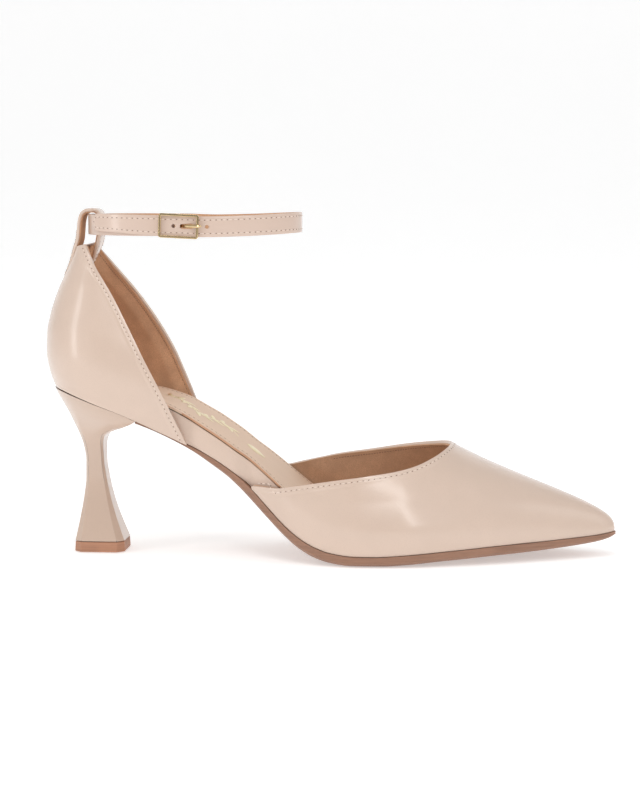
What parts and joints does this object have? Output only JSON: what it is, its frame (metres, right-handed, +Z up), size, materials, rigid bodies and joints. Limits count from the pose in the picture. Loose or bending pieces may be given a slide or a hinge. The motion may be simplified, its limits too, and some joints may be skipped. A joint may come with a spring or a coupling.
{
  "type": "high heel pump",
  "caption": "Pointed-toe two-part pump with a flared spool heel, a thin buckled ankle strap through a back loop, right foot.",
  "frame": {"origin": "centre of the heel's ground face, on the floor under the middle of the top lift", "axes": "+X towards the toe, +Y to the inner (medial) side of the foot, +Z up"},
  "size_m": [0.2384, 0.076, 0.1438],
  "materials": {
    "patent_leather": "semi-gloss patent, nude",
    "heel_cover": "moulded heel covered in the upper's patent leather",
    "lining_suede": "matt microsuede, tan",
    "sock_leather": "soft satin, stitched near its edges",
    "outsole": "satin, leather look",
    "top_lift": "hard polyurethane, satin",
    "fibreboard": "matt fibreboard",
    "cork_filler": "matt cork",
    "foam": "soft latex foam",
    "stiffener": "thermoplastic sheet",
    "steel": "bright drawn steel",
    "gold_metal": "polished gold plate"
  },
  "bodies": {
    "shoe": {"vamp_outer": "patent_leather", "vamp_lining": "lining_suede", "toe_puff": "stiffener", "quarter_lateral": "patent_leather", "quarter_medial": "patent_leather", "quarter_lining": "lining_suede", "counter_stiffener": "stiffener", "back_loop": "patent_leather", "outsole": "outsole", "waist_wrap": "patent_leather", "insole_board": "fibreboard", "shank": "steel", "shank_rivet_rear": "steel", "shank_rivet_front": "steel", "bottom_filler": "cork_filler", "heel_cushion": "foam", "forepart_cushion": "foam", "sock": "sock_leather", "heel_block": "heel_cover", "heel_dowel": "steel", "heel_screw": "steel", "heel_nail_1": "steel", "heel_nail_2": "steel", "heel_nail_3": "steel", "heel_nail_4": "steel", "top_lift": "top_lift", "top_lift_pin": "steel"},
    "ankle_strap": {"strap_outer": "patent_leather", "strap_lining": "lining_suede", "buckle_tab": "patent_leather"},
    "buckle": {"buckle_frame": "gold_metal"},
    "prong": {"buckle_prong": "gold_metal"}
  },
  "joints": [
    {"name": "strap_tilt", "type": "hinge", "parent": "shoe", "child": "ankle_strap", "pos_m": [-0.0029, 0, 0.137], "axis": [0, -1, 0], "range_deg": [-10, 10]},
    {"name": "buckle_swivel", "type": "hinge", "parent": "ankle_strap", "child": "buckle", "pos_m": [0.0364, -0.02191, 0.13699], "axis": [0, 0, -1], "range_deg": [-2, 2.5]},
    {"name": "prong_lift", "type": "hinge", "parent": "buckle", "child": "prong", "pos_m": [0.0364, -0.02191, 0.13699], "axis": [0, 0, -1], "range_deg": [0, 7]}
  ]
}
